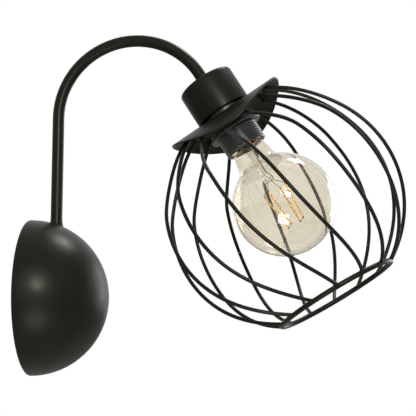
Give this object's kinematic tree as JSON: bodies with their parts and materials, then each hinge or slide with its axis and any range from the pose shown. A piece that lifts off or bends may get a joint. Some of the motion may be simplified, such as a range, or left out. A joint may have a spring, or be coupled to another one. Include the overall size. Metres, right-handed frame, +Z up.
{
  "type": "cage wall light",
  "caption": "Wall light with a half-round canopy, a bent arm, a cup over the lampholder and a twisted wire cage round a clear globe bulb.",
  "frame": {"origin": "centre of the canopy's rim, on the wall plane", "axes": "+X out of the wall, +Y along the wall, +Z up"},
  "size_m": [0.3443, 0.219, 0.3193],
  "materials": {
    "coated_steel": "satin",
    "zinc_steel": "zinc plated",
    "black_screws": "satin",
    "brass": "plain",
    "white_plastic": "matte",
    "black_plastic": "matte",
    "ivory_plastic": "matte",
    "brown_lead": "smooth insulation",
    "blue_lead": "smooth insulation",
    "green_lead": "smooth insulation",
    "bulb_cap_metal": "satin",
    "cap_insulator": "gloss",
    "clear_glass": "clear",
    "support_wire": "dull",
    "filament": "matte"
  },
  "bodies": {
    "fixture": {"dome_canopy": "coated_steel", "wall_strap": "zinc_steel", "canopy_set_screws": "black_screws", "earth_screw": "brass", "terminal_block": "white_plastic", "terminal_clamps": "brass", "terminal_screws": "zinc_steel", "arm_tube": "coated_steel", "arm_collar": "coated_steel", "arm_wedge_washer": "zinc_steel", "arm_earth_tag": "brass", "arm_lock_nut": "zinc_steel", "live_lead": "brown_lead", "neutral_lead": "blue_lead", "earth_lead": "green_lead", "holder_cup": "coated_steel", "cup_lock_nut": "zinc_steel", "holder_cap": "black_plastic", "holder_skirt": "black_plastic", "holder_insert": "ivory_plastic", "holder_terminals": "brass", "screw_shell": "brass", "centre_contact": "brass", "side_contact": "brass"},
    "cage": {"cage_plate": "coated_steel", "cage_hoop": "coated_steel", "cage_wire_1": "coated_steel", "cage_wire_2": "coated_steel", "cage_wire_3": "coated_steel", "cage_wire_4": "coated_steel", "cage_wire_5": "coated_steel", "cage_wire_6": "coated_steel", "cage_wire_7": "coated_steel", "cage_wire_8": "coated_steel", "cage_wire_9": "coated_steel", "cage_wire_10": "coated_steel", "cage_wire_11": "coated_steel", "cage_wire_12": "coated_steel", "cage_wire_13": "coated_steel", "cage_wire_14": "coated_steel"},
    "shade_ring": {"shade_ring": "black_plastic", "shade_ring_flange": "black_plastic"},
    "bulb": {"bulb_cap": "bulb_cap_metal", "bulb_cap_insulator": "cap_insulator", "bulb_cap_contact": "bulb_cap_metal", "bulb_neck": "clear_glass", "bulb_glass": "clear_glass", "bulb_stem": "clear_glass", "bulb_supports": "support_wire", "bulb_filaments": "filament"}
  },
  "joints": [
    {"name": "cage_slide", "type": "slide", "parent": "fixture", "child": "cage", "axis": [0.5358, 0, -0.8443], "range_m": [0, 0.033]},
    {"name": "shade_ring_spin", "type": "hinge", "parent": "cage", "child": "shade_ring", "pos_m": [0.18691, 0, 0.15922], "axis": [0.5358, 0, -0.8443], "range_deg": [0, 4752]},
    {"name": "bulb_slide", "type": "slide", "parent": "fixture", "child": "bulb", "axis": [0.5358, 0, -0.8443], "range_m": [0, 0.195]}
  ],
  "couplings": [
    {"joint": "shade_ring_spin", "follows": "cage_slide", "rad_per_m": 2513.3}
  ]
}
